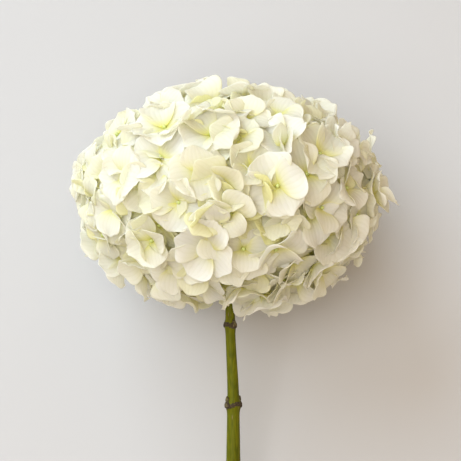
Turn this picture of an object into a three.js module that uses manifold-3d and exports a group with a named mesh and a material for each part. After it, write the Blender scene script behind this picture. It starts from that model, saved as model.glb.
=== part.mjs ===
// A cut mophead hydrangea with its leaves stripped, lying on its side on a flat surface.
//
// Units are millimetres, +Z is up and Z = 0 is the surface. The stem runs along Y: its cut end
// rests on the surface at -Y and it rises towards the head at +Y, which rests on its own petals.
// The flower is laid out upright in a frame of its own, with the middle of the head at the origin
// and the stem going down -Z, and is then laid over about X so that its +Y side faces the surface.

import * as THREE from 'three';
import { mergeVertices } from 'three/addons/utils/BufferGeometryUtils.js';
import Module from 'manifold-3d';

const wasm = await Module();
wasm.setup();

// The rounded face of the head, which its outermost petals just reach.
const headWidth = 208;
const headHeight = 157;
// How far the petals give way where the head lies on the surface.
const headPress = 9;
// The clear hole round the stem on the underside of the head.
const openingRadius = 20;

// The stem.
const stemBelowHead = 190;
const stemTopDiameter = 6.2;
const stemEndDiameter = 9.4;
// The stem's centre moves across by this much between the head and the second leaf node.
const stemDrift = 2;
const cutSlant = THREE.MathUtils.degToRad(35);
// The crown is the swollen top of the stem, inside the head, where the rays leave.
const crownDrop = 25;
const crownDiameter = 15;

// Leaf nodes, where opposite leaves were stripped off, as distances below the head. Each has two
// scars with a bud above each one, and turn is the way the pair faces.
const leafNodes = [
  { drop: 4, swelling: 1.3, budLength: 2.6, turn: -50 },
  { drop: 55, swelling: 1.35, budLength: 5, turn: 35 },
  { drop: 128, swelling: 1.3, budLength: 5, turn: -50 },
];
const scarWidth = 4.6;
const scarHeight = 4;
const scarThickness = 2.4;
const budWidth = 2.6;

// Rays are the main branches. Each ends in a knuckle, from which its sprays fan out.
const rayCount = 9;
const rayBaseDiameter = 4;
const rayTipDiameter = 3;
const knuckleDiameter = 8;
// Places inside the head, as shares of the way from its middle to its outer face.
const knuckleShare = 0.3;
const forkShare = 0.52;

// Sprays: a stalk, a fork and a few florets, each on a pedicel of its own.
const sprayCount = 48;
const floretsPerSpray = 3;
const stalkDiameter = 2;
const forkDiameter = 4.4;
const pedicelBaseDiameter = 1.5;
const pedicelTipDiameter = 1.3;

// A floret is four broad petals round the top of its pedicel. A petal is broadest near its end:
// its two corners stand this far, in degrees, to the sides of its middle line. The petals are
// thickest where they meet, and thin out to the rim.
const floretWidth = 33;
const floretWidthSpread = 3;
const petalThickness = 1.2;
const notchDepth = 0.36;
const petalCorner = 25;
const cupDepth = 1.5;
const pairDrop = 1;
const floretTilt = 0.7;

// The space that pieces of different nodes keep, and the extra for petals that bend.
const gap = 0.3;
const petalClearance = 0.9;

// The large florets of the side that faces up, by hand: how far across the head and how far up it
// they sit, their width, and the turn of their petals in degrees.
const showFlorets = [
  { across: -13, up: 42, width: 37, turn: 40 },
  { across: 38, up: 36, width: 37, turn: 25 },
  { across: 31, up: 4, width: 37, turn: 45 },
  { across: -43, up: 0, width: 36, turn: 20 },
  { across: -14, up: -38, width: 38, turn: 70 },
  { across: 54, up: -16, width: 36, turn: 30 },
  { across: 60, up: 27, width: 37, turn: 5 },
  { across: -45, up: 47, width: 38, turn: 15 },
  { across: -1, up: 2, width: 32, turn: 60 },
  { across: 8, up: -17, width: 27, turn: 10 },
  { across: 9, up: -40, width: 30, turn: 50 },
  { across: 30, up: -38, width: 35, turn: 80 },
  { across: 33, up: -18, width: 30, turn: 35 },
  { across: -21, up: 13, width: 34, turn: 30 },
  { across: -18, up: -17, width: 28, turn: 0 },
  { across: -70, up: 11, width: 34, turn: 50 },
  { across: -52, up: -33, width: 32, turn: 25 },
];

const headRadius = headWidth / 2;
const headHalfHeight = headHeight / 2;
const stemEndRadius = stemEndDiameter / 2;
const stemEnd = headHalfHeight + stemBelowHead;

// The flower's slope as it lies: both the cut end and the pressed side of the head touch Z = 0.
let slope = 0;
let restHeight = 0;
for (let pass = 0; pass < 30; pass += 1) {
  const reach = Math.hypot(headRadius * Math.cos(slope), headHalfHeight * Math.sin(slope));
  restHeight = reach - headPress;
  slope = Math.asin((restHeight - stemEndRadius * Math.cos(slope)) / stemEnd);
}
const downward = new THREE.Vector3(0, Math.cos(slope), -Math.sin(slope));

// Repeatable chance, so that the flower comes out the same each time.
let chance = 7;
function random(low, high) {
  chance = (chance * 16807) % 2147483647;
  return low + (high - low) * (chance / 2147483647);
}

// A point of the head in a direction from its middle and at a depth below its outer face. Where
// the head lies on the surface the petals are pressed flat, each at its own depth.
function headPoint(direction, depth) {
  const point = new THREE.Vector3(
    direction.x * (headRadius - depth),
    direction.y * (headRadius - depth),
    direction.z * (headHalfHeight - depth),
  );
  const below = point.dot(downward) - (restHeight - depth);
  if (below > 0) {
    point.addScaledVector(downward, -below);
  }
  return point;
}

// The same point by its share of the way out from the middle of the head.
function innerPoint(direction, share) {
  return new THREE.Vector3(
    direction.x * headRadius * share,
    direction.y * headRadius * share,
    direction.z * headHalfHeight * share,
  );
}

function directionOf(point) {
  return new THREE.Vector3(
    point.x / headRadius,
    point.y / headRadius,
    point.z / headHalfHeight,
  ).normalize();
}

// Directions spread evenly from the top of the head down to a lowest one, along a spiral.
function spiralDirection(index, count, lowest) {
  const height = 1 - ((1 - lowest) * (index + 0.5)) / count;
  const level = Math.sqrt(1 - height * height);
  const angle = index * Math.PI * (3 - Math.sqrt(5));
  return new THREE.Vector3(level * Math.cos(angle), level * Math.sin(angle), height);
}

// The way round the head and the way down it, both along its outer face, at a direction.
function faceAxes(direction) {
  const normal = new THREE.Vector3(
    direction.x / headRadius,
    direction.y / headRadius,
    direction.z / headHalfHeight,
  ).normalize();
  const round = new THREE.Vector3(-normal.y, normal.x, 0).normalize();
  return { round, down: round.clone().cross(normal) };
}

// The direction reached from another one by going along the outer face.
function directionBeside(direction, roundwise, downwards) {
  const { round, down } = faceAxes(direction);
  const point = innerPoint(direction, 1);
  point.addScaledVector(round, roundwise).addScaledVector(down, downwards);
  return directionOf(point);
}

// The florets keep far enough from the stem to leave the hole on the underside.
const lowestRadius = openingRadius + floretWidth / 2;
const lowestFloret = -Math.sqrt(1 - (lowestRadius / headRadius) ** 2);

// Florets start as a small ring round each spray's direction.
function startFlorets() {
  const headFace = 2 * Math.PI * headRadius * (headRadius + headHalfHeight);
  const ringRadius = 0.36 * Math.sqrt(headFace / sprayCount);
  const florets = [];
  for (let spray = 0; spray < sprayCount; spray += 1) {
    const middle = spiralDirection(spray, sprayCount, lowestFloret);
    const start = random(0, 2 * Math.PI);
    for (let place = 0; place < floretsPerSpray; place += 1) {
      const angle = start + (2 * Math.PI * place) / floretsPerSpray;
      const width = floretWidth + random(-floretWidthSpread, floretWidthSpread);
      florets.push({
        spray,
        direction: directionBeside(middle, ringRadius * Math.cos(angle), ringRadius * Math.sin(angle)),
        radius: width / 2,
        turn: random(0, Math.PI / 2),
        lean: random(0, 2 * Math.PI),
        shown: false,
      });
    }
  }
  return florets;
}

// Each show floret takes the place of the nearest floret.
function placeShowFlorets(florets) {
  for (const show of showFlorets) {
    const x = show.across / headRadius;
    const z = show.up / headHalfHeight;
    const direction = new THREE.Vector3(x, -Math.sqrt(1 - x * x - z * z), z);
    let nearest = null;
    for (const floret of florets) {
      const distance = floret.direction.distanceTo(direction);
      if (!floret.shown && (nearest === null || distance < nearest.direction.distanceTo(direction))) {
        nearest = floret;
      }
    }
    nearest.direction = direction;
    nearest.radius = show.width / 2;
    nearest.turn = THREE.MathUtils.degToRad(show.turn);
    nearest.shown = true;
  }
}

// Florets push each other apart along the outer face until they are spread evenly.
function spreadFlorets(florets) {
  const rounds = 60;
  const wanted = 0.86 * floretWidth;
  for (let round = 0; round < rounds; round += 1) {
    const points = florets.map((floret) => innerPoint(floret.direction, 1));
    const pushes = florets.map(() => new THREE.Vector3());
    for (let a = 0; a < florets.length; a += 1) {
      for (let b = a + 1; b < florets.length; b += 1) {
        const apart = points[a].distanceTo(points[b]);
        if (apart < wanted) {
          const push = points[a].clone().sub(points[b]).multiplyScalar((0.3 * (wanted - apart)) / apart);
          pushes[a].add(push);
          pushes[b].sub(push);
        }
      }
    }
    florets.forEach((floret, index) => {
      if (floret.shown) {
        return;
      }
      const direction = directionOf(points[index].add(pushes[index]));
      if (direction.z < lowestFloret) {
        const level = Math.sqrt(1 - lowestFloret ** 2) / Math.hypot(direction.x, direction.y);
        direction.set(direction.x * level, direction.y * level, lowestFloret);
      }
      floret.direction = direction;
    });
  }
}

// Petals of neighbouring florets overlap, so each floret takes the outermost layer that none of
// its neighbours has taken. The show florets choose first, and then those nearest the surface.
const petalRoom = Math.max(pairDrop + 2 * floretTilt, cupDepth + floretTilt) + petalThickness;
const layerStep = petalRoom + petalClearance;

function layerFlorets(florets) {
  const order = [...florets].sort((a, b) => {
    if (a.shown !== b.shown) {
      return a.shown ? -1 : 1;
    }
    return innerPoint(b.direction, 1).dot(downward) - innerPoint(a.direction, 1).dot(downward);
  });
  const placed = [];
  for (const floret of order) {
    const point = innerPoint(floret.direction, 1);
    const taken = new Set();
    for (const other of placed) {
      if (point.distanceTo(innerPoint(other.direction, 1)) < floret.radius + other.radius) {
        taken.add(other.layer);
      }
    }
    floret.layer = 0;
    while (taken.has(floret.layer)) {
      floret.layer += 1;
    }
    placed.push(floret);
  }
}

// A closed geometry as a solid that can be joined and cut, and back again.
function solidOf(geometry) {
  geometry.deleteAttribute('normal');
  geometry.deleteAttribute('uv');
  const merged = mergeVertices(geometry, 1e-5);
  return new wasm.Manifold(new wasm.Mesh({
    numProp: 3,
    vertProperties: new Float32Array(merged.attributes.position.array),
    triVerts: new Uint32Array(merged.index.array),
  }));
}

function geometryOf(solid) {
  const mesh = solid.getMesh();
  const geometry = new THREE.BufferGeometry();
  geometry.setAttribute('position', new THREE.BufferAttribute(mesh.vertProperties, 3));
  geometry.setIndex(new THREE.BufferAttribute(mesh.triVerts, 1));
  return geometry;
}

// A straight tapered branch between two points.
function branch(from, to, fromDiameter, toDiameter, sides) {
  const geometry = new THREE.CylinderGeometry(
    toDiameter / 2,
    fromDiameter / 2,
    from.distanceTo(to),
    sides,
  );
  const along = to.clone().sub(from).normalize();
  geometry.applyQuaternion(new THREE.Quaternion().setFromUnitVectors(new THREE.Vector3(0, 1, 0), along));
  const middle = from.clone().add(to).multiplyScalar(0.5);
  geometry.translate(middle.x, middle.y, middle.z);
  return solidOf(geometry);
}

function swelling(centre, diameter) {
  const geometry = new THREE.IcosahedronGeometry(diameter / 2, 1);
  geometry.translate(centre.x, centre.y, centre.z);
  return solidOf(geometry);
}

// A point on the way from one place to another, at a distance from the first.
function pointTowards(from, to, distance) {
  return from.clone().addScaledVector(to.clone().sub(from).normalize(), distance);
}

// The four petals of a floret as one thin cup that follows the face of the head, made from a ball
// of two flat cones: its poles are the two sides of the middle, and its equator is the rim.
function petalCup(floret) {
  const petals = 4;
  const geometry = new THREE.SphereGeometry(1, 3 * petals, 2);
  const cornerShift = THREE.MathUtils.degToRad(petalCorner - 15) / Math.sin(Math.PI / 3);
  const position = geometry.attributes.position;
  for (let index = 0; index < position.count; index += 1) {
    const reach = Math.hypot(position.getX(index), position.getZ(index));
    const evenAngle = Math.atan2(position.getZ(index), position.getX(index));
    const angle = evenAngle - cornerShift * Math.sin(petals * evenAngle);
    const isNotch = Math.cos(petals * evenAngle) > 0.9;
    const radius = reach * floret.radius * (isNotch ? 1 - notchDepth : 1);
    const direction = directionBeside(
      floret.direction,
      radius * Math.cos(angle + floret.turn),
      radius * Math.sin(angle + floret.turn),
    );
    let depth = floret.layer * layerStep;
    depth += floretTilt * (1 + reach * Math.cos(angle - floret.lean));
    depth += cupDepth * (1 - reach);
    depth += (reach * pairDrop * (1 - Math.sin(2 * angle))) / 2;
    if (position.getY(index) < -0.5) {
      depth += petalThickness;
    }
    const point = headPoint(direction, depth);
    position.setXYZ(index, point.x, point.y, point.z);
  }
  return solidOf(geometry);
}

// A floret on its pedicel, which leaves the fork on the floret's own side.
function floretSolid(floret, fork, stalkWay) {
  const depth = floret.layer * layerStep + floretTilt + cupDepth + petalThickness / 2;
  const tip = headPoint(floret.direction, depth);
  const side = tip.clone().sub(fork).projectOnPlane(stalkWay);
  const root = pointTowards(fork, fork.clone().add(side), 0.22 * forkDiameter);
  return petalCup(floret).add(branch(root, tip, pedicelBaseDiameter, pedicelTipDiameter, 4));
}

function spraySolid(florets, knuckle) {
  const middle = new THREE.Vector3();
  for (const floret of florets) {
    middle.add(floret.direction);
  }
  const fork = innerPoint(middle.normalize(), forkShare);
  const foot = pointTowards(knuckle, fork, knuckleDiameter / 2 + gap);
  const stalkEnd = pointTowards(fork, foot, -forkDiameter / 2);
  const stalkWay = stalkEnd.clone().sub(foot).normalize();
  let solid = branch(foot, stalkEnd, stalkDiameter, forkDiameter, 5);
  for (const floret of florets) {
    solid = solid.add(floretSolid(floret, fork, stalkWay));
  }
  return solid;
}

function raySolid(crown, knuckle) {
  const foot = pointTowards(crown, knuckle, crownDiameter / 2 + gap);
  return branch(foot, knuckle, rayBaseDiameter, rayTipDiameter, 6).add(swelling(knuckle, knuckleDiameter));
}

// The stem as a turned profile, thicker at its leaf nodes and swollen at the crown.
function stemRadiusAt(z) {
  const share = (-crownDrop - z) / (stemEnd - crownDrop);
  const growth = THREE.MathUtils.smoothstep(share, 0.2, 0.7);
  return (stemTopDiameter + (stemEndDiameter - stemTopDiameter) * growth) / 2;
}

function stemProfile() {
  const points = [new THREE.Vector2(0, -stemEnd), new THREE.Vector2(stemRadiusAt(-stemEnd), -stemEnd)];
  for (const node of [...leafNodes].reverse()) {
    const z = -headHalfHeight - node.drop;
    const radius = stemRadiusAt(z);
    points.push(new THREE.Vector2(stemRadiusAt(z - 7), z - 7));
    points.push(new THREE.Vector2(radius * (0.4 + 0.6 * node.swelling), z - 2.4));
    points.push(new THREE.Vector2(radius * node.swelling, z));
    points.push(new THREE.Vector2(radius * (0.5 + 0.5 * node.swelling), z + 2));
    points.push(new THREE.Vector2(stemRadiusAt(z + 4.5), z + 4.5));
  }
  const crownRadius = crownDiameter / 2;
  points.push(new THREE.Vector2(stemTopDiameter / 2, -crownDrop - crownRadius * 1.4));
  const firstAngle = Math.PI - Math.asin((stemTopDiameter * 1.3) / crownDiameter);
  const crownSteps = 5;
  for (let step = 0; step < crownSteps; step += 1) {
    const angle = firstAngle * (1 - step / crownSteps);
    points.push(new THREE.Vector2(crownRadius * Math.sin(angle), crownRadius * Math.cos(angle) - crownDrop));
  }
  points.push(new THREE.Vector2(0, crownRadius - crownDrop));
  return points;
}

// An egg shape on the side of the stem, tipped outwards from a foot on the stem's face.
function stemBump(z, facing, out, width, length, thickness, tip) {
  const geometry = new THREE.SphereGeometry(0.5, 6, 4);
  geometry.scale(width, length, thickness);
  geometry.rotateX(Math.PI / 2);
  geometry.rotateZ(Math.PI / 2);
  geometry.rotateY(tip);
  geometry.translate(stemRadiusAt(z) + out, 0, z);
  geometry.rotateZ(facing);
  return solidOf(geometry);
}

function stemSolid() {
  const turned = new THREE.LatheGeometry(stemProfile(), 10);
  turned.rotateX(Math.PI / 2);
  let solid = solidOf(turned);
  for (const node of leafNodes) {
    const z = -headHalfHeight - node.drop;
    for (const side of [0, Math.PI]) {
      const facing = THREE.MathUtils.degToRad(node.turn) + side;
      const scarOut = 0.4 * scarThickness;
      solid = solid.add(stemBump(z, facing, scarOut, scarWidth, scarHeight, scarThickness, 0));
      const budOut = 0.5 * budWidth;
      const budMiddle = z + scarHeight / 2 + 0.35 * node.budLength;
      solid = solid.add(stemBump(budMiddle, facing, budOut, budWidth, node.budLength, budWidth, 0.25));
    }
  }
  const block = 4 * stemEndDiameter;
  const cutter = new THREE.BoxGeometry(block, block, block);
  cutter.translate(0, 0, -block / 2);
  cutter.rotateX(-cutSlant);
  cutter.translate(0, stemEndRadius, -stemEnd);
  return solid.subtract(solidOf(cutter));
}

// The stem drifts sideways below the head.
function driftStem(geometry) {
  const position = geometry.attributes.position;
  const run = leafNodes[1].drop;
  for (let index = 0; index < position.count; index += 1) {
    const share = THREE.MathUtils.clamp((-headHalfHeight - position.getZ(index)) / run, 0, 1);
    position.setX(index, position.getX(index) + stemDrift * share);
  }
}

const flower = new THREE.Group();

function addPiece(name, geometry, color, roughness) {
  const mesh = new THREE.Mesh(geometry, new THREE.MeshStandardMaterial({ color, roughness, metalness: 0 }));
  mesh.name = name;
  flower.add(mesh);
}

const stemGeometry = geometryOf(stemSolid());
driftStem(stemGeometry);
addPiece('stem', stemGeometry, '#6e7418', 0.6);

const crown = new THREE.Vector3(0, 0, -crownDrop);
const rayDirections = [];
for (let ray = 0; ray < rayCount; ray += 1) {
  const direction = spiralDirection(ray, rayCount, lowestFloret);
  rayDirections.push(direction);
  addPiece(`ray_${ray + 1}`, geometryOf(raySolid(crown, innerPoint(direction, knuckleShare))), '#b4bd62', 0.6);
}

const florets = startFlorets();
placeShowFlorets(florets);
spreadFlorets(florets);
layerFlorets(florets);

for (let spray = 0; spray < sprayCount; spray += 1) {
  const own = florets.filter((floret) => floret.spray === spray);
  const middle = spiralDirection(spray, sprayCount, lowestFloret);
  const ray = rayDirections.reduce((best, direction) => (
    direction.distanceTo(middle) < best.distanceTo(middle) ? direction : best
  ));
  const number = String(spray + 1).padStart(2, '0');
  addPiece(`spray_${number}`, geometryOf(spraySolid(own, innerPoint(ray, knuckleShare))), '#efece0', 0.55);
}

// Lay the flower over and put the middle of its footprint at the origin.
flower.rotation.x = slope - Math.PI / 2;
flower.updateMatrixWorld(true);
const box = new THREE.Box3().setFromObject(flower, true);
flower.position.set(-(box.min.x + box.max.x) / 2, -(box.min.y + box.max.y) / 2, -box.min.z);

export default flower;
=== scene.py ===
import math

import bmesh
import bpy
from mathutils import Matrix, Quaternion, Vector


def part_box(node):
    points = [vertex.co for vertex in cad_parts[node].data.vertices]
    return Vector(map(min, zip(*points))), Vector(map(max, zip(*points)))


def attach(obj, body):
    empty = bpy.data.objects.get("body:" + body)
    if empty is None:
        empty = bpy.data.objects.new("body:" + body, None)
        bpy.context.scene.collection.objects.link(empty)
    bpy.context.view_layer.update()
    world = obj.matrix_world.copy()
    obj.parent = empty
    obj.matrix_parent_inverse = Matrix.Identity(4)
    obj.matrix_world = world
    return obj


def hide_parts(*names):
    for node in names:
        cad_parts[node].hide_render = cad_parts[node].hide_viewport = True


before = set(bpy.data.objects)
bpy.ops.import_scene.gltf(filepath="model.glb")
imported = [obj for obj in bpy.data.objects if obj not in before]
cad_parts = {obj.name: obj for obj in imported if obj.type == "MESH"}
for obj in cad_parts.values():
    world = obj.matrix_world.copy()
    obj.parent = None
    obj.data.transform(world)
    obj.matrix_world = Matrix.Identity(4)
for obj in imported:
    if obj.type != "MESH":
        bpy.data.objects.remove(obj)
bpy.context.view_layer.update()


# The stem.
# One woody green shoot, cut from the plant with a slanting cut and stripped of its leaves. Each
# pair of leaves has left two corky scars, with a bud above each one where the leaf met the stem.
head_radius = 0.104
head_half_height = 0.0785
head_press = 0.009
stem_end_radius = 0.0047
stem_length_below_head = 0.190
stem_end = head_half_height + stem_length_below_head
crown_drop = 0.025
crown_radius = 0.0075

# The flower lies on two places: the low side of its head, where soft petals give way, and the cut
# end of its stem. It is worked out upright, with the middle of the head at the origin and the stem
# down -Z, and every piece is then laid over into its place.
slope = 0.0
for _ in range(30):
    reach = math.hypot(head_radius * math.cos(slope), head_half_height * math.sin(slope))
    rest_height = reach - head_press
    slope = math.asin((rest_height - stem_end_radius * math.cos(slope)) / stem_end)
downward = Vector((0, math.cos(slope), -math.sin(slope)))

stem_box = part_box("stem")
crown_half_width = crown_radius * math.sin(math.radians(72))
middle_of_head = Vector((
    stem_box[0].x + crown_half_width,
    stem_box[0].y + stem_end * math.cos(slope) - stem_end_radius * math.sin(slope),
    rest_height,
))
lay_down = Matrix.Translation(middle_of_head) @ Matrix.Rotation(slope - math.pi / 2, 4, "X")

chance = 7


def random(low, high):
    global chance
    chance = chance * 16807 % 2147483647
    return low + (high - low) * chance / 2147483647


def finished(name, bm, materials, replaced):
    """A piece from its bmesh, laid over into its place, in its finish, riding on the flower."""
    bm.transform(lay_down)
    mesh = bpy.data.meshes.new(name)
    bm.to_mesh(mesh)
    bm.free()
    mesh.shade_smooth()
    piece = bpy.data.objects.new(name, mesh)
    bpy.context.collection.objects.link(piece)
    for material in materials:
        mesh.materials.append(material)
    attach(piece, "root")
    if replaced:
        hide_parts(*replaced)
    return piece


def new_material(name):
    material = bpy.data.materials.new(name)
    material.use_nodes = True
    nodes = material.node_tree.nodes
    return material, nodes, material.node_tree.links, nodes["Principled BSDF"]


def add_node(nodes, kind, **settings):
    node = nodes.new(kind)
    for key, value in settings.items():
        if key in node.inputs:
            node.inputs[key].default_value = value
        else:
            setattr(node, key, value)
    return node


def colour_ramp(nodes, stops):
    ramp = nodes.new("ShaderNodeValToRGB")
    elements = ramp.color_ramp.elements
    while len(elements) < len(stops):
        elements.new(0.5)
    for element, (place, colour) in zip(elements, stops):
        element.position = place
        element.color = (*colour, 1)
    return ramp


def mottled(name, scale, detail, stops, roughness, dents=None):
    """A finish whose soft blotches run through its colours, with shallow dents if they are given."""
    material, nodes, links, shader = new_material(name)
    where = nodes.new("ShaderNodeTexCoord")
    blotches = add_node(nodes, "ShaderNodeTexNoise", Scale=scale, Detail=detail)
    colours = colour_ramp(nodes, stops)
    links.new(where.outputs["Object"], blotches.inputs["Vector"])
    links.new(blotches.outputs["Fac"], colours.inputs["Fac"])
    links.new(colours.outputs["Color"], shader.inputs["Base Color"])
    shader.inputs["Roughness"].default_value = roughness
    if dents:
        strength, depth = dents
        bump = add_node(nodes, "ShaderNodeBump", Strength=strength, Distance=depth)
        links.new(blotches.outputs["Fac"], bump.inputs["Height"])
        links.new(bump.outputs["Normal"], shader.inputs["Normal"])
    return material, shader


def tube(bm, points, radii, sides):
    """A closed round limb: a ring drawn along its points, as wide as its radii."""
    turn = Vector((0, 0, 1)).rotation_difference(points[1] - points[0])
    places = []
    way = (points[1] - points[0]).normalized()
    for index, point in enumerate(points):
        ahead = points[min(index + 1, len(points) - 1)] - points[max(index - 1, 0)]
        ahead.normalize()
        turn = way.rotation_difference(ahead) @ turn
        way = ahead
        places.append(Matrix.LocRotScale(point, turn, (radii[index],) * 3))
    first = bmesh.ops.create_circle(bm, segments=sides, radius=1, matrix=places[0])["verts"]
    ring = list({edge for vert in first for edge in vert.link_edges})
    ends = [ring]
    for before, after in zip(places, places[1:]):
        grown = bmesh.ops.extrude_edge_only(bm, edges=ring)["geom"]
        verts = [item for item in grown if isinstance(item, bmesh.types.BMVert)]
        ring = [
            item for item in grown
            if isinstance(item, bmesh.types.BMEdge) and all(vert in verts for vert in item.verts)
        ]
        bmesh.ops.transform(bm, matrix=after @ before.inverted(), verts=verts)
    ends.append(ring)
    for end in ends:
        bmesh.ops.contextual_create(bm, geom=end)
    return ends


stem_top_radius = 0.0031
stem_drift = 0.002
cut_slant = math.radians(35)
leaf_nodes = [
    (0.004, 1.30, 0.0026, -50),
    (0.055, 1.35, 0.0050, 35),
    (0.128, 1.30, 0.0050, -50),
]


def stem_radius_at(z):
    share = (-crown_drop - z) / (stem_end - crown_drop)
    growth = min(1, max(0, (share - 0.2) / 0.5))
    return stem_top_radius + (stem_end_radius - stem_top_radius) * growth * growth * (3 - 2 * growth)


def stem_across_at(z):
    share = min(1, max(0, (-head_half_height - z) / leaf_nodes[1][0]))
    return stem_drift * share * share * (3 - 2 * share)


def swollen_radius_at(z, facing):
    """The stem's radius with the swelling of its leaf nodes, widest below the two scars."""
    radius = stem_radius_at(z)
    extra = 0
    for drop, swelling, _, turn in leaf_nodes:
        away = (z + head_half_height + drop) / (0.0022 if z > -head_half_height - drop else 0.0036)
        side = 0.55 + 0.45 * math.cos(facing - math.radians(turn)) ** 2
        extra += (swelling - 1) * side * math.exp(-away * away)
    return radius * (1 + extra)


bark, nodes, links, shader = new_material("stem_bark")
where = nodes.new("ShaderNodeTexCoord")
lengthwise = add_node(nodes, "ShaderNodeMapping", Scale=(1, 0.12, 0.35))
streaks = add_node(nodes, "ShaderNodeTexNoise", Scale=900, Detail=5)
blotches = add_node(nodes, "ShaderNodeTexNoise", Scale=55, Detail=3)
specks = add_node(nodes, "ShaderNodeTexVoronoi", Scale=420)
greens = colour_ramp(nodes, [
    (0.3, (0.080, 0.090, 0.0008)), (0.55, (0.120, 0.125, 0.0015)), (0.8, (0.175, 0.170, 0.004)),
])
speck_mask = colour_ramp(nodes, [(0.04, (1, 1, 1)), (0.12, (0, 0, 0))])
with_blotches = add_node(nodes, "ShaderNodeMix", data_type="RGBA", blend_type="MULTIPLY")
with_specks = add_node(nodes, "ShaderNodeMix", data_type="RGBA")
bump = add_node(nodes, "ShaderNodeBump", Strength=0.35, Distance=0.0003)
links.new(where.outputs["Object"], lengthwise.inputs["Vector"])
links.new(lengthwise.outputs["Vector"], streaks.inputs["Vector"])
links.new(where.outputs["Object"], blotches.inputs["Vector"])
links.new(lengthwise.outputs["Vector"], specks.inputs["Vector"])
links.new(streaks.outputs["Fac"], greens.inputs["Fac"])
links.new(greens.outputs["Color"], with_blotches.inputs["A"])
blotch_tint = colour_ramp(nodes, [(0.35, (0.78, 0.80, 0.6)), (0.6, (1, 1, 1))])
links.new(blotches.outputs["Fac"], blotch_tint.inputs["Fac"])
links.new(blotch_tint.outputs["Color"], with_blotches.inputs["B"])
with_blotches.inputs["Factor"].default_value = 1
links.new(specks.outputs["Distance"], speck_mask.inputs["Fac"])
links.new(speck_mask.outputs["Color"], with_specks.inputs["Factor"])
links.new(with_blotches.outputs["Result"], with_specks.inputs["A"])
with_specks.inputs["B"].default_value = (0.22, 0.15, 0.07, 1)
links.new(with_specks.outputs["Result"], shader.inputs["Base Color"])
links.new(streaks.outputs["Fac"], bump.inputs["Height"])
links.new(bump.outputs["Normal"], shader.inputs["Normal"])
shader.inputs["Roughness"].default_value = 0.55
shader.inputs["Specular IOR Level"].default_value = 0.12
shader.inputs["Subsurface Weight"].default_value = 0.08
shader.inputs["Subsurface Scale"].default_value = 0.002

wood, _ = mottled("cut_wood", 1500, 4, [(0.35, (0.36, 0.42, 0.16)), (0.65, (0.55, 0.58, 0.30))], 0.6)
pith, _ = mottled("pith", 2500, 3, [(0.35, (0.62, 0.64, 0.48)), (0.65, (0.85, 0.86, 0.74))], 0.8)
cork, _ = mottled(
    "leaf_scar_cork", 1400, 6,
    [(0.35, (0.018, 0.011, 0.004)), (0.55, (0.05, 0.032, 0.012)), (0.75, (0.14, 0.09, 0.035))],
    0.85, (0.7, 0.0003),
)
scar_face, _ = mottled(
    "leaf_scar_face", 1100, 5,
    [(0.35, (0.05, 0.035, 0.014)), (0.55, (0.13, 0.10, 0.04)), (0.75, (0.26, 0.20, 0.08))],
    0.85,
)
bud_scale, _ = mottled(
    "bud_scale", 600, 4,
    [(0.35, (0.05, 0.035, 0.012)), (0.55, (0.10, 0.08, 0.02)), (0.75, (0.17, 0.16, 0.03))],
    0.6,
)

stem_sides = 28
fine_step = 0.0007
plain_step = 0.003
near_node = 0.008
cork_half_height = 0.0014
cork_dip = 0.0009
bm = bmesh.new()
crown_bottom = -crown_drop - crown_radius * 1.4
heights = []
z = -stem_end
while z < crown_bottom:
    heights.append(z)
    near = min(abs(z + head_half_height + drop) for drop, *_ in leaf_nodes)
    z += fine_step if near < near_node else plain_step
points = [Vector((stem_across_at(z), 0, z)) for z in heights]
radii = [stem_radius_at(z) for z in heights]
for step in range(9):
    angle = math.radians(155 - 19 * step)
    points.append(Vector((0, 0, crown_radius * math.cos(angle) - crown_drop)))
    radii.append(crown_radius * max(0.05, math.sin(angle)))
tube(bm, points, radii, stem_sides)
for vert in bm.verts:
    if vert.co.z < crown_bottom:
        middle = stem_across_at(vert.co.z)
        facing = math.atan2(vert.co.y, vert.co.x - middle)
        stretch = swollen_radius_at(vert.co.z, facing) / stem_radius_at(vert.co.z)
        vert.co.x = middle + (vert.co.x - middle) * stretch
        vert.co.y *= stretch
for face in bm.faces:
    middle = face.calc_center_median()
    facing = math.atan2(middle.y, middle.x - stem_across_at(middle.z))
    for drop, _, _, turn in leaf_nodes:
        line = -head_half_height - drop - 0.0004 - cork_dip * math.cos(2 * (facing - math.radians(turn)))
        if abs(middle.z - line) < cork_half_height and len(face.verts) == 4:
            face.material_index = 3
low_point = Vector((stem_drift, stem_end_radius, -stem_end))
cut_normal = Vector((0, -math.sin(cut_slant), -math.cos(cut_slant)))
cut = bmesh.ops.bisect_plane(
    bm,
    geom=bm.verts[:] + bm.edges[:] + bm.faces[:],
    plane_co=low_point,
    plane_no=cut_normal,
    clear_outer=True,
)
rim = [item for item in cut["geom_cut"] if isinstance(item, bmesh.types.BMEdge)]
cap = bmesh.ops.contextual_create(bm, geom=rim)["faces"]
bmesh.ops.recalc_face_normals(bm, faces=bm.faces[:])
bmesh.ops.inset_region(bm, faces=cap, thickness=0.0006, depth=0)
for face in cap:
    face.material_index = 1
bmesh.ops.inset_region(bm, faces=cap, thickness=0.0021, depth=-0.0002)
for face in cap:
    face.material_index = 2
finished("stem_shoot", bm, [bark, wood, pith, cork], ["stem"])

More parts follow.
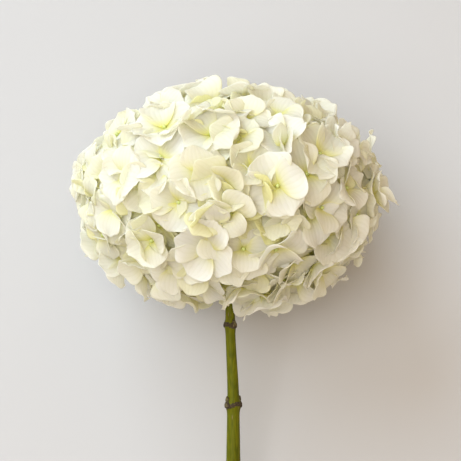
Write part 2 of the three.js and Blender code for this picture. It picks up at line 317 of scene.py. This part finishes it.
# Scars are half-moon pads of cork with a paler face, and buds small pointed eggs, brown and dry.
bud_girth = 0.0015
scars = bmesh.new()
buds = bmesh.new()
for drop, swelling, bud_length, turn in leaf_nodes:
    z = -head_half_height - drop
    middle = stem_across_at(z)
    radius = stem_radius_at(z) * swelling
    for side in (0, math.pi):
        facing = math.radians(turn) + side
        way = Matrix.Translation((middle, 0, z)) @ Matrix.Rotation(facing, 4, "Z")
        pad = bmesh.ops.create_uvsphere(scars, u_segments=20, v_segments=14, radius=1)["verts"]
        for face in {face for vert in pad for face in vert.link_faces}:
            centre = face.calc_center_median()
            face.material_index = 1 if centre.x > 0.80 and centre.z > -0.35 else 0
        for vert in pad:
            ball = vert.co.copy()
            out = 0.0013 * ball.x - 0.0005 * max(0, ball.x - 0.8) * 5
            spot = Vector((out, 0.0028 * ball.y, 0.0023 * ball.z - 0.0009 * ball.y ** 2 + 0.0003))
            sunk = radius * 0.96 - 4 * abs(spot.y) * abs(spot.y) / radius * 0.1
            vert.co = way @ (spot + Vector((sunk, 0, -0.0004)))
        egg = bmesh.ops.create_uvsphere(buds, u_segments=14, v_segments=10, radius=1)["verts"]
        for vert in egg:
            share = (vert.co.z + 1) / 2
            keel = 1 + 0.14 * math.cos(2 * math.atan2(vert.co.y, vert.co.x))
            girth = bud_girth * (1 - 0.6 * share * share) * keel
            spot = Vector((vert.co.x * girth, vert.co.y * girth, vert.co.z * bud_length / 2))
            lean = Matrix.Rotation(0.2, 4, "Y")
            seat = Vector((radius * 0.80 + 0.0004, 0, 0.0012 + bud_length * 0.40))
            vert.co = way @ (lean @ spot + seat)
finished("leaf_scars", scars, [cork, scar_face], [])
finished("leaf_buds", buds, [bud_scale], [])


# The rays.
# Main branches that leave the crown inside the head and hold the sprays out towards its face.
# They are soft, pale green and a little hairy, and thicken at each joint.
ray_count = 9
knuckle_share = 0.3
fork_share = 0.52
opening_radius = 0.020
floret_width = 0.033


def face_point(direction, share=1.0):
    """A point inside the head, by its share of the way from the middle to the outer face."""
    return Vector((
        direction.x * head_radius * share,
        direction.y * head_radius * share,
        direction.z * head_half_height * share,
    ))


def direction_of(point):
    spot = Vector((point.x / head_radius, point.y / head_radius, point.z / head_half_height))
    return spot.normalized()


def spiral_direction(index, count, lowest):
    height = 1 - (1 - lowest) * (index + 0.5) / count
    level = math.sqrt(1 - height * height)
    angle = index * math.pi * (3 - math.sqrt(5))
    return Vector((level * math.cos(angle), level * math.sin(angle), height))


lowest_radius = opening_radius + floret_width / 2
lowest_floret = -math.sqrt(1 - (lowest_radius / head_radius) ** 2)

shoot, shader = mottled(
    "spray_green", 260, 4,
    [(0.3, (0.62, 0.66, 0.08)), (0.55, (0.74, 0.76, 0.14)), (0.8, (0.82, 0.83, 0.28))],
    0.55, (0.3, 0.0002),
)
shader.inputs["Subsurface Weight"].default_value = 0.2
shader.inputs["Subsurface Scale"].default_value = 0.002

ray_directions = [spiral_direction(ray, ray_count, lowest_floret) for ray in range(ray_count)]
crown = Vector((0, 0, -crown_drop))
for ray, direction in enumerate(ray_directions):
    bm = bmesh.new()
    knuckle = face_point(direction, knuckle_share)
    foot = crown + (knuckle - crown).normalized() * crown_radius * 0.9
    shares = (0, 0.2, 0.5, 0.78, 0.92, 1.0, 1.08)
    widths = (0.0024, 0.0019, 0.0016, 0.0019, 0.0031, 0.0035, 0.0022)
    tube(bm, [foot.lerp(knuckle, share) for share in shares], widths, 10)
    bmesh.ops.recalc_face_normals(bm, faces=bm.faces[:])
    finished(f"ray_{ray + 1}_branch", bm, [shoot], [f"ray_{ray + 1}"])


# The places of the florets.
# Florets crowd the face of the head, each on the layer that its neighbours leave free, so that
# their petals overlap like tiles. Three outer florets and two small inner ones share a spray.
spray_count = 48
florets_per_spray = 3
floret_width_spread = 0.003
layer_step = 0.0031
middle_depth = 0.0100
show_florets = [
    (-0.013, 0.042, 0.038, 0, 48, -12, 26),
    (0.038, 0.036, 0.037, 25, 22, -38, 24),
    (0.031, 0.004, 0.037, 20, 6, 2, 8),
    (-0.043, 0.000, 0.036, 20, 12, -22, 20),
    (-0.014, -0.038, 0.038, 70, -20, -34, 22),
    (0.054, -0.016, 0.036, 30, -6, 36, 24),
    (0.060, 0.027, 0.037, 5, 20, 34, 16),
    (-0.045, 0.047, 0.038, 15, 38, -22, 14),
    (-0.001, 0.002, 0.032, 60, 14, -4, 14),
    (0.008, -0.017, 0.027, 10, -14, 4, 38),
    (0.009, -0.040, 0.030, 50, -24, 6, 34),
    (0.030, -0.038, 0.035, 80, -58, 30, 30),
    (0.033, -0.018, 0.030, 35, -8, -16, 34),
    (-0.021, 0.013, 0.034, 30, 8, 10, 16),
    (-0.018, -0.017, 0.029, 0, -6, 8, 54),
    (-0.070, 0.011, 0.034, 50, 10, -40, 18),
    (-0.052, -0.033, 0.032, 25, -20, -30, 26),
]


def face_axes(direction):
    """Round the head, down it and straight out of its rounded face, where a direction meets it."""
    normal = direction_of(direction)
    around = Vector((-normal.y, normal.x, 0)).normalized()
    return around, around.cross(normal), normal


def direction_beside(direction, roundwise, downwards):
    around, down, _ = face_axes(direction)
    return direction_of(face_point(direction) + around * roundwise + down * downwards)


florets = []
head_face = 2 * math.pi * head_radius * (head_radius + head_half_height)
ring_radius = 0.36 * math.sqrt(head_face / spray_count)
for spray in range(spray_count):
    middle = spiral_direction(spray, spray_count, lowest_floret)
    start = random(0, 2 * math.pi)
    for place in range(florets_per_spray):
        angle = start + 2 * math.pi * place / florets_per_spray
        radius = (floret_width + random(-floret_width_spread, floret_width_spread)) / 2
        florets.append({
            "spray": spray,
            "direction": direction_beside(
                middle, ring_radius * math.cos(angle), ring_radius * math.sin(angle),
            ),
            "radius": radius,
            "turn": random(0, math.pi / 2),
            "lean": random(0, 2 * math.pi),
            "shown": False,
        })

for across, up, width, turn, nod, sway, cup in show_florets:
    x = across / head_radius
    z = up / head_half_height
    direction = Vector((x, -math.sqrt(1 - x * x - z * z), z))
    nearest = min(
        (floret for floret in florets if not floret["shown"]),
        key=lambda floret: (floret["direction"] - direction).length,
    )
    nearest.update(direction=direction, radius=width / 2, turn=math.radians(turn), shown=True)
    nearest.update(nod=math.radians(nod), sway=math.radians(sway), cup=cup)

wanted = 0.86 * floret_width
for _ in range(60):
    points = [face_point(floret["direction"]) for floret in florets]
    pushes = [Vector() for _ in florets]
    for a, point in enumerate(points):
        for b in range(a + 1, len(points)):
            between = point - points[b]
            apart = between.length
            if apart < wanted:
                push = between * (0.3 * (wanted - apart) / apart)
                pushes[a] += push
                pushes[b] -= push
    for floret, point, push in zip(florets, points, pushes):
        if floret["shown"]:
            continue
        direction = direction_of(point + push)
        if direction.z < lowest_floret:
            level = math.sqrt(1 - lowest_floret ** 2) / math.hypot(direction.x, direction.y)
            direction = Vector((direction.x * level, direction.y * level, lowest_floret))
        floret["direction"] = direction

def settled(direction):
    """How far inside the outline a floret of the top layer sits, so that its petals' ends reach it."""
    side = 0.003 * direction.x ** 2 + 0.002 * min(0, direction.z) ** 2
    return middle_depth + side + 0.007 * max(0, direction.z) ** 2


placed = []
for floret in sorted(florets, key=lambda floret: (
    not floret["shown"], -face_point(floret["direction"]).dot(downward),
)):
    point = face_point(floret["direction"])
    taken = {
        other["layer"] for other in placed
        if (point - face_point(other["direction"])).length < floret["radius"] + other["radius"]
    }
    floret["layer"] = min(layer for layer in range(len(taken) + 1) if layer not in taken)
    floret["sunk"] = floret["layer"] * layer_step
    floret["depth"] = floret["sunk"] + settled(floret["direction"])
    placed.append(floret)

spray_middles = []
for spray in range(spray_count):
    total = Vector()
    for floret in florets:
        if floret["spray"] == spray:
            total += floret["direction"]
    spray_middles.append(total.normalized())

closer_radius = 0.026
lowest_inner = -math.sqrt(1 - (closer_radius / head_radius) ** 2)
for count, low_sunk, high_sunk, low_radius, high_radius in (
    (150, 0.0018, 0.0058, 0.0150, 0.0180),
    (120, 0.0080, 0.0140, 0.0140, 0.0170),
):
    for index in range(count):
        direction = spiral_direction(index, count, lowest_inner)
        direction = direction_beside(direction, random(-0.006, 0.006), random(-0.006, 0.006))
        nearest = min(range(spray_count), key=lambda spray: (spray_middles[spray] - direction).length)
        florets.append({
            "spray": nearest,
            "direction": direction,
            "radius": random(low_radius, high_radius),
            "turn": random(0, math.pi / 2),
            "lean": random(0, 2 * math.pi),
            "shown": False,
            "layer": 6,
            "sunk": random(low_sunk, high_sunk),
        })
        florets[-1]["depth"] = florets[-1]["sunk"] + settled(direction)


def pressed(point, depth):
    """A point of the head, moved up where it would be under the surface, each at its own depth."""
    below = point.dot(downward) - (rest_height - max(depth, 0.0009))
    return point - downward * below if below > 0 else point


def head_point(direction, depth):
    point = Vector((
        direction.x * (head_radius - depth),
        direction.y * (head_radius - depth),
        direction.z * (head_half_height - depth),
    ))
    return pressed(point, depth)


for floret in florets:
    around, down, normal = face_axes(floret["direction"])
    if floret["shown"]:
        facing = Vector((
            math.sin(floret["sway"]) * math.cos(floret["nod"]),
            -math.cos(floret["sway"]) * math.cos(floret["nod"]),
            math.sin(floret["nod"]),
        ))
        tilt = normal.rotation_difference(facing)
    else:
        steep = random(4, 22) if floret["layer"] < 6 else random(5, 38)
        floret["cup"] = random(2, 30)
        axis = around * math.cos(floret["lean"]) + down * math.sin(floret["lean"])
        tilt = Quaternion(axis, math.radians(steep))
    floret["place"] = head_point(floret["direction"], floret["depth"])
    floret["axes"] = (tilt @ around, tilt @ down, tilt @ normal)


# The stalks.
# Each spray grows from a knuckle as one stalk, forks, and gives every floret a thin pedicel of its
# own. They bend a little on the way, so that the florets can face outwards.
for spray in range(spray_count):
    bm = bmesh.new()
    fork = face_point(spray_middles[spray], fork_share)
    start = spiral_direction(spray, spray_count, lowest_floret)
    ray = min(ray_directions, key=lambda direction: (direction - start).length)
    knuckle = face_point(ray, knuckle_share)
    foot = knuckle.lerp(fork, 0.08)
    tube(
        bm,
        [foot.lerp(fork, share) for share in (0, 0.3, 0.7, 0.92, 1.04)],
        (0.0014, 0.0011, 0.0010, 0.0016, 0.0013),
        8,
    )
    for floret in florets:
        if floret["spray"] == spray:
            top = floret["place"] - floret["axes"][2] * 0.0006
            sag = (top - fork).cross(downward) * random(-0.03, 0.03)
            bend = fork.lerp(top, 0.6) - floret["axes"][2] * 0.0015 + sag
            path = [
                fork * (1 - share) ** 2 + bend * 2 * share * (1 - share) + top * share ** 2
                for share in (0.0, 0.2, 0.4, 0.6, 0.8, 0.93, 1.0)
            ]
            tube(bm, path, (0.0009, 0.0007, 0.00062, 0.0006, 0.00062, 0.0008, 0.0011), 6)
    bmesh.ops.recalc_face_normals(bm, faces=bm.faces[:])
    finished(f"spray_{spray + 1:02d}_stalks", bm, [shoot], [])


# The petals.
# A floret's four show petals are really sepals: thin, soft, creamy white blades, broadest near
# their end, cupped and wavy, with a green-yellow foot and veins that fan out to a bright rim.
petal_thickness = 0.00036
pair_step = 0.0006
foot_gap = 0.0005
widest = 0.60

petal, nodes, links, shader = new_material("petal")
layout = nodes.new("ShaderNodeUVMap")
layout.uv_map = "petal_map"
parts = nodes.new("ShaderNodeSeparateXYZ")
# The per-floret attribute read here holds each floret's own random tone, a green boost for steeply
# cupped florets, and painted shade for deeper florets.
tone = nodes.new("ShaderNodeAttribute")
tone.attribute_name = "greenness_and_painted_shade"
foot_tint = colour_ramp(nodes, [
    (0.0, (1, 1, 1)), (0.10, (0.6, 0.6, 0.6)), (0.32, (0.13, 0.13, 0.13)), (0.6, (0, 0, 0)),
])
add_tone = add_node(nodes, "ShaderNodeMath", operation="ADD", use_clamp=True)
veins = add_node(
    nodes, "ShaderNodeTexWave",
    bands_direction="X", wave_profile="SIN", Scale=2.6, Distortion=1.0, Detail=2,
)
vein_map = add_node(nodes, "ShaderNodeMapping", Scale=(1, 0.35, 1))
white = add_node(nodes, "ShaderNodeMix", data_type="RGBA")
white.inputs["A"].default_value = (0.97, 0.967, 0.955, 1)
white.inputs["B"].default_value = (0.93, 0.915, 0.24, 1)
vein_tint = add_node(nodes, "ShaderNodeMix", data_type="RGBA", blend_type="MULTIPLY")
vein_colours = colour_ramp(nodes, [(0.0, (0.90, 0.905, 0.84)), (0.35, (1, 1, 1))])
bump = add_node(nodes, "ShaderNodeBump", Strength=0.35, Distance=0.0002)
links.new(layout.outputs["UV"], parts.inputs["Vector"])
links.new(parts.outputs["Y"], foot_tint.inputs["Fac"])
links.new(foot_tint.outputs["Color"], add_tone.inputs[0])
links.new(tone.outputs["Fac"], add_tone.inputs[1])
links.new(add_tone.outputs["Value"], white.inputs["Factor"])
links.new(layout.outputs["UV"], vein_map.inputs["Vector"])
links.new(vein_map.outputs["Vector"], veins.inputs["Vector"])
links.new(veins.outputs["Fac"], vein_colours.inputs["Fac"])
links.new(white.outputs["Result"], vein_tint.inputs["A"])
links.new(vein_colours.outputs["Color"], vein_tint.inputs["B"])
vein_tint.inputs["Factor"].default_value = 0.28
links.new(vein_tint.outputs["Result"], shader.inputs["Base Color"])
links.new(veins.outputs["Fac"], bump.inputs["Height"])
links.new(bump.outputs["Normal"], shader.inputs["Normal"])
shader.inputs["Roughness"].default_value = 0.55
shader.inputs["Specular IOR Level"].default_value = 0.3
through = nodes.new("ShaderNodeBsdfTranslucent")
mixed = add_node(nodes, "ShaderNodeMixShader", Fac=0.6)
leaf_filter = add_node(nodes, "ShaderNodeMix", data_type="RGBA", blend_type="MULTIPLY")
leaf_filter.inputs["Factor"].default_value = 1
leaf_filter.inputs["B"].default_value = (1.0, 0.985, 0.90, 1)
links.new(vein_tint.outputs["Result"], leaf_filter.inputs["A"])
links.new(leaf_filter.outputs["Result"], through.inputs["Color"])
links.new(bump.outputs["Normal"], through.inputs["Normal"])
links.new(shader.outputs["BSDF"], mixed.inputs[1])
links.new(through.outputs["BSDF"], mixed.inputs[2])
links.new(mixed.outputs["Shader"], nodes["Material Output"].inputs["Surface"])


def add_petal(bm, floret, quarter, layers):
    """One petal, from a grid: it narrows to its foot, rounds off at its end, cups and ripples."""
    uv_layer, green_layer = layers
    steps = 10 if floret["shown"] else 6
    lower_pair = quarter % 2
    length = floret["radius"] * random(0.98, 1.16)
    width = floret["radius"] * random(1.15, 1.55)
    turn = floret["turn"] + math.pi / 4 + quarter * math.pi / 2 + random(-0.10, 0.10)
    pitch = math.radians(floret["cup"] + random(-8, 12) + (random(15, 50) if random(0, 1) < 0.2 else 0))
    curl = random(-0.9, 0.5) - 0.7 * pitch
    trough = random(-0.08, 0.26)
    twist = random(-0.4, 0.4)
    crease = random(-0.03, 0.09)
    ripple = random(0.04, 0.15)
    waves = random(5.0, 9.0)
    phase = random(0, 2 * math.pi)
    point_out = random(-0.05, 0.09)
    tooth = max(0, random(-0.015, 0.075)) if floret["shown"] else 0
    around, down, normal = floret["axes"]
    along = around * math.cos(turn) + down * math.sin(turn)
    aside = along.cross(normal)
    rows = []
    reach, height = 0.0, 0.0
    for step in range(steps + 1):
        angle = pitch + curl * step / steps
        rows.append((reach, height, angle))
        reach += math.cos(angle) / steps
        height += math.sin(angle) / steps
    verts = bmesh.ops.create_grid(bm, x_segments=steps, y_segments=steps, size=1)["verts"]
    spots = {}
    for vert in verts:
        v = vert.co.x
        u = (vert.co.y + 1) / 2
        spots[vert] = (v, u)
        if u < widest:
            half = 0.12 + 0.88 * math.sin(u / widest * math.pi / 2) ** 0.85
        else:
            half = math.sqrt(1 - 0.80 * ((u - widest) / (1 - widest)) ** 2)
        edge = abs(v) ** 3
        notch = 1 + tooth * math.cos(steps * math.pi * u) * (abs(v) > 0.95)
        slide = point_out * (1 - v * v) - 0.12 * v * v + 0.35 * ripple * math.sin(4.5 * v + waves)
        slide *= u ** 4
        if u > 0.99:
            slide += tooth * math.cos(steps * math.pi * (v + 1) / 2)
        reach, height, angle = rows[round(u * steps)]
        x = v * half * notch / 2
        lift = trough * (2 * x) ** 2 + crease * abs(2 * x) + twist * u * x
        lift += ripple * u * edge * math.sin(waves * u + phase + (2.4 if v > 0 else 0))
        lift += 0.6 * ripple * u ** 4 * math.sin(3.4 * v + phase)
        spot = along * (length * (reach + slide * math.cos(angle) - lift * math.sin(angle)) + foot_gap)
        spot += aside * x * width
        rise = length * (height + slide * math.sin(angle) + lift * math.cos(angle))
        rise += 0 if lower_pair else pair_step
        spot += floret["place"] + normal * rise
        vert.co = pressed(spot, floret["depth"] - rise)
        vert[green_layer] = floret["greenness_and_painted_shade"]
    for face in {face for vert in verts for face in vert.link_faces}:
        for loop in face.loops:
            v, u = spots[loop.vert]
            loop[uv_layer].uv = ((v + 1) / 2, u)


for spray in range(spray_count):
    bm = bmesh.new()
    layers = bm.loops.layers.uv.new("petal_map"), bm.verts.layers.float.new("greenness_and_painted_shade")
    for floret in florets:
        if floret["spray"] != spray:
            continue
        # Painted shade: the deeper a floret sits, the more yellow-green its petals are painted, standing
        # in for the yellowed shade in the gaps between florets.
        painted_gap_shade = 44 * max(0, floret["sunk"] - 0.0032)
        floret["greenness_and_painted_shade"] = random(0, 0.07) + (0.22 if floret["cup"] > 50 else 0) + painted_gap_shade
        for quarter in range(4):
            add_petal(bm, floret, quarter, layers)
    name = f"spray_{spray + 1:02d}"
    piece = finished(f"{name}_petals", bm, [petal], [name])
    wall = piece.modifiers.new("wall", "SOLIDIFY")
    wall.thickness = petal_thickness
    wall.offset = -1
    smooth = piece.modifiers.new("smooth", "SUBSURF")
    smooth.levels = 1
    smooth.render_levels = 1


# The buds.
# A tiny closed flower, a pale green bead on a short neck, stands in the middle of every floret.
bead, _ = mottled("floret_bud", 1200, 2, [(0.35, (0.46, 0.54, 0.14)), (0.7, (0.66, 0.70, 0.28))], 0.45)

for spray in range(spray_count):
    bm = bmesh.new()
    for floret in florets:
        if floret["spray"] == spray:
            normal = floret["axes"][2]
            middle = pressed(floret["place"] + normal * 0.0012, floret["depth"] - 0.0024)
            place = Matrix.LocRotScale(middle, normal.to_track_quat("Z", "Y"), (0.0013, 0.0013, 0.0015))
            bmesh.ops.create_uvsphere(bm, u_segments=8, v_segments=6, radius=1, matrix=place)
    finished(f"spray_{spray + 1:02d}_buds", bm, [bead], [])


# The surface, the light and the camera.
# A plain pale table. The camera looks down square to the stem, as one would at a standing flower.
bm = bmesh.new()
bmesh.ops.create_grid(bm, x_segments=1, y_segments=1, size=4)
mesh = bpy.data.meshes.new("table")
bm.to_mesh(mesh)
bm.free()
table = bpy.data.objects.new("table", mesh)
bpy.context.collection.objects.link(table)
table_paint, _ = mottled(
    "table_paint", 6, 2, [(0.3, (0.504, 0.496, 0.488)), (0.7, (0.512, 0.504, 0.496))], 0.9,
)
mesh.materials.append(table_paint)

world = bpy.data.worlds.new("room")
world.use_nodes = True
world.node_tree.nodes["Background"].inputs["Color"].default_value = (1.0, 0.78, 0.55, 1)
world.node_tree.nodes["Background"].inputs["Strength"].default_value = 0.67
bpy.context.scene.world = world


def soft_light(name, place, target, size, power, colour):
    data = bpy.data.lights.new(name, "AREA")
    data.shape = "DISK"
    data.size = size
    data.energy = power
    data.color = colour
    light = bpy.data.objects.new(name, data)
    bpy.context.collection.objects.link(light)
    light.matrix_world = Matrix.LocRotScale(place, (place - target).to_track_quat("Z", "Y"), (1, 1, 1))


soft_light("window", Vector((-1.40, 1.30, 1.30)), middle_of_head, 2.5, 64, (0.64, 0.82, 1.0))
soft_light("fill", Vector((-0.5, -0.5, 2.0)), middle_of_head, 1.4, 27, (0.88, 0.93, 1.0))

picture_width = 0.294
camera_distance = 1.15
target = lay_down @ Vector((0.0002, 0, -0.0226))
camera_data = bpy.data.cameras.new("camera")
camera_data.sensor_width = 36
camera_data.lens = 36 * camera_distance / picture_width
camera = bpy.data.objects.new("camera", camera_data)
bpy.context.collection.objects.link(camera)
back = lay_down.to_3x3() @ Vector((0, -1, 0))
upright = lay_down.to_3x3() @ Vector((0, 0, 1))
right = upright.cross(back)
turn = Matrix((right, upright, back)).transposed().to_4x4()
camera.matrix_world = Matrix.Translation(target + back * camera_distance) @ turn
bpy.context.scene.camera = camera
bpy.context.scene.view_settings.view_transform = "Standard"

bpy.context.view_layer.update()
